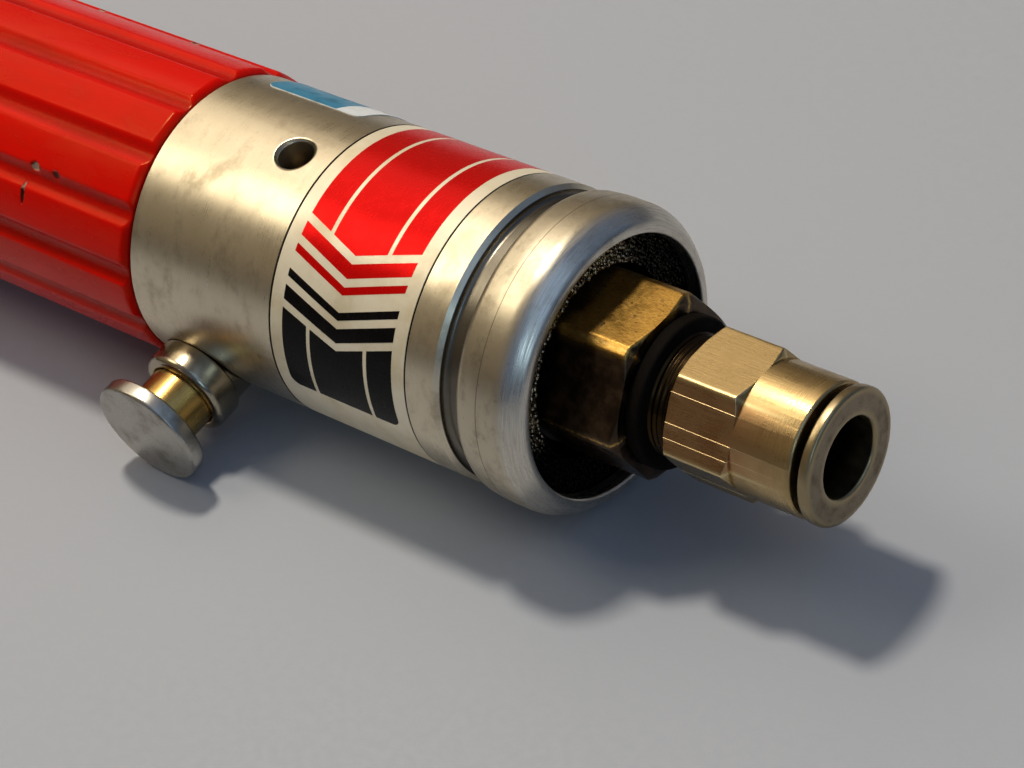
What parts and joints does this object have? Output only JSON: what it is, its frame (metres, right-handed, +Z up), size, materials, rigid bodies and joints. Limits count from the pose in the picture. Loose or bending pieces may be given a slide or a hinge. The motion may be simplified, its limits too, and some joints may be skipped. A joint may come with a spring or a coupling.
{
  "type": "pneumatic screwdriver",
  "caption": "Straight push-start pneumatic screwdriver with fluted red grip, quick-change bit holder, side reverse button, rear exhaust and push-in hose inlet.",
  "frame": {"origin": "tip of the screwdriver bit, on the spindle axis, 16.5 mm above the surface the tool lies on", "axes": "+X forward along the spindle out of the bit's tip, +Z up from the surface that the tool lies on, +Y to the side that the reverse button stands out of"},
  "size_m": [0.2799, 0.0416, 0.033],
  "materials": {
    "red_grip": "gloss, worn on the flutes",
    "turned_aluminium": "satin, fine turning marks",
    "rolled_ring": "burnished",
    "label_foil": null,
    "sticker_film": "satin",
    "sintered_bronze": "sintered beads",
    "patina_brass": "darkened",
    "plated_brass": "nickel plated, bright",
    "button_steel": "satin",
    "stem_brass": "bright",
    "sealing_fibre": "matt",
    "seal_rubber": "matt",
    "bit_steel": "dark tool steel",
    "spindle_steel": "ground",
    "chuck_steel": "satin",
    "clutch_aluminium": "satin, turned",
    "gear_steel": "ground",
    "bearing_steel": "polished",
    "bush_bronze": "sintered, oily",
    "spring_steel": "drawn wire",
    "vane_laminate": "cloth laminate",
    "case_steel": "drawn tube"
  },
  "bodies": {
    "tool_body": {"nose_piece": "clutch_aluminium", "nose_bush": "bush_bronze", "thrust_washer": "spindle_steel", "clutch_housing": "clutch_aluminium", "carrier_bush": "bush_bronze", "ring_gear": "gear_steel", "front_end_plate": "case_steel", "front_bearing_outer": "bearing_steel", "motor_cylinder": "case_steel", "rear_end_plate": "case_steel", "rear_bearing_outer": "bearing_steel", "motor_case": "case_steel", "grip_sleeve": "red_grip", "rear_housing": "turned_aluminium", "label_band": "label_foil", "service_sticker": "sticker_film", "valve_seat": "stem_brass", "valve_spring": "spring_steel", "button_guide": "button_steel", "button_spring": "spring_steel", "exhaust_silencer": "sintered_bronze", "end_ring": "rolled_ring", "inlet_bush": "patina_brass", "inlet_strainer": "stem_brass", "inlet_washer": "sealing_fibre", "fitting_body": "plated_brass", "fitting_seal": "seal_rubber"},
    "drive": {"planet_carrier": "gear_steel", "planet_pins": "bearing_steel", "clutch_driver": "gear_steel", "clutch_balls": "bearing_steel", "clutch_plate": "gear_steel", "clutch_spring": "spring_steel", "clutch_nut": "spindle_steel", "clutch_shaft": "spindle_steel"},
    "planet_1": {"planet_gear_1": "gear_steel"},
    "planet_2": {"planet_gear_2": "gear_steel"},
    "planet_3": {"planet_gear_3": "gear_steel"},
    "rotor": {"rotor": "gear_steel", "rotor_vanes": "vane_laminate", "front_bearing_inner": "bearing_steel", "rear_bearing_inner": "bearing_steel"},
    "front_bearing_balls": {"front_bearing_balls": "bearing_steel"},
    "rear_bearing_balls": {"rear_bearing_balls": "bearing_steel"},
    "spindle": {"bit_holder": "spindle_steel", "screwdriver_bit": "bit_steel", "chuck_circlip": "spring_steel", "chuck_spring": "spring_steel"},
    "chuck_sleeve": {"chuck_sleeve": "chuck_steel"},
    "retaining_ball": {"retaining_ball": "bearing_steel"},
    "push_rod": {"push_rod": "spindle_steel", "start_valve": "stem_brass", "valve_seal": "seal_rubber"},
    "reverse_button": {"button_head": "button_steel", "button_spool": "stem_brass"},
    "release_collet": {"release_collet": "plated_brass"}
  },
  "joints": [
    {"name": "spindle_spin", "type": "hinge", "parent": "tool_body", "child": "drive", "pos_m": [0, 0, 0], "axis": [1, 0, 0], "continuous": true},
    {"name": "rotor_spin", "type": "hinge", "parent": "tool_body", "child": "rotor", "pos_m": [0, 0, 0], "axis": [1, 0, 0], "continuous": true},
    {"name": "front_bearing_spin", "type": "hinge", "parent": "tool_body", "child": "front_bearing_balls", "pos_m": [0, 0, 0], "axis": [1, 0, 0], "continuous": true},
    {"name": "rear_bearing_spin", "type": "hinge", "parent": "tool_body", "child": "rear_bearing_balls", "pos_m": [0, 0, 0], "axis": [1, 0, 0], "continuous": true},
    {"name": "planet_1_spin", "type": "hinge", "parent": "drive", "child": "planet_1", "pos_m": [0, 0, 0.00675], "axis": [1, 0, 0], "continuous": true},
    {"name": "planet_2_spin", "type": "hinge", "parent": "drive", "child": "planet_2", "pos_m": [0, 0.00585, -0.00337], "axis": [1, 0, 0], "continuous": true},
    {"name": "planet_3_spin", "type": "hinge", "parent": "drive", "child": "planet_3", "pos_m": [0, -0.00585, -0.00337], "axis": [1, 0, 0], "continuous": true},
    {"name": "push_start", "type": "slide", "parent": "drive", "child": "spindle", "axis": [-1, 0, 0], "range_m": [0, 0.004], "stiffness_N_per_m": 600},
    {"name": "push_rod_slide", "type": "slide", "parent": "tool_body", "child": "push_rod", "axis": [-1, 0, 0], "range_m": [0, 0.004], "deforming": ["valve_spring"]},
    {"name": "chuck_sleeve_slide", "type": "slide", "parent": "spindle", "child": "chuck_sleeve", "axis": [1, 0, 0], "range_m": [0, 0.003], "stiffness_N_per_m": 900, "deforming": ["chuck_spring"]},
    {"name": "retaining_ball_lift", "type": "slide", "parent": "spindle", "child": "retaining_ball", "axis": [0, 0, 1], "range_m": [0, 0.0009]},
    {"name": "reverse_button_press", "type": "slide", "parent": "tool_body", "child": "reverse_button", "axis": [0, -0.9925, 0.1221], "range_m": [0, 0.004], "stiffness_N_per_m": 500, "deforming": ["button_spring"]},
    {"name": "release_ring_press", "type": "slide", "parent": "tool_body", "child": "release_collet", "axis": [1, 0, 0], "range_m": [0, 0.0007]}
  ],
  "couplings": [
    {"joint": "rotor_spin", "follows": "spindle_spin", "ratio": 4.5},
    {"joint": "front_bearing_spin", "follows": "spindle_spin", "ratio": 1.8},
    {"joint": "rear_bearing_spin", "follows": "spindle_spin", "ratio": 1.8},
    {"joint": "planet_1_spin", "follows": "spindle_spin", "ratio": -2.8},
    {"joint": "planet_2_spin", "follows": "spindle_spin", "ratio": -2.8},
    {"joint": "planet_3_spin", "follows": "spindle_spin", "ratio": -2.8},
    {"joint": "push_rod_slide", "follows": "push_start", "ratio": 1},
    {"joint": "retaining_ball_lift", "follows": "chuck_sleeve_slide", "ratio": 0.3}
  ]
}
